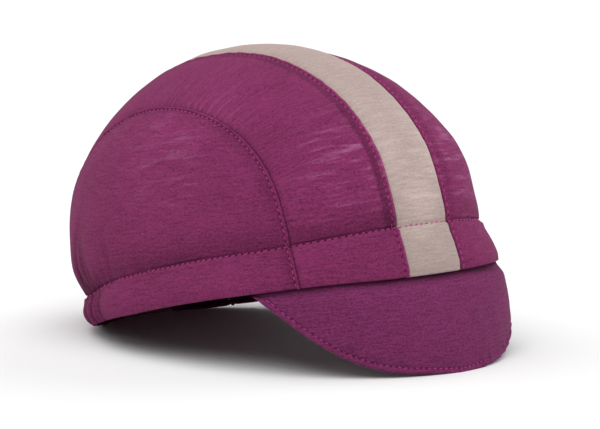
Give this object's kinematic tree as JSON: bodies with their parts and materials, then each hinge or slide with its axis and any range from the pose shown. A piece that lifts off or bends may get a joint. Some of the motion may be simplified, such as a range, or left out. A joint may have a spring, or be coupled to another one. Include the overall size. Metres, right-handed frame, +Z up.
{
  "type": "three-panel cloth cap with a short peak",
  "caption": "Soft close-fitting sport cap with D-shaped side panels, a pale stripe over the crown, a stitched band and a short turned-down peak.",
  "frame": {"origin": "on the ground under the middle of the cap's whole outline, peak included", "axes": "+Z up; -Y forwards, the way the peak points; -X towards the wearer's right. The cap leans back 16 degrees, as it rests on its peak and on the back of its hem"},
  "size_m": [0.1626, 0.234, 0.1339],
  "materials": {
    "purple_cloth": "matt, slightly fuzzy fine wool jersey, heathered, with fine level streaks",
    "pale_cloth": "the same jersey in a warm beige grey",
    "dark_cloth": "matt charcoal binding"
  },
  "bodies": {
    "root": {"side_panel_right": "purple_cloth", "side_panel_left": "purple_cloth", "centre_panel_right": "purple_cloth", "centre_panel_left": "purple_cloth", "centre_stripe": "pale_cloth", "sweatband": "dark_cloth", "peak_top": "purple_cloth", "peak_under": "purple_cloth"}
  },
  "joints": []
}
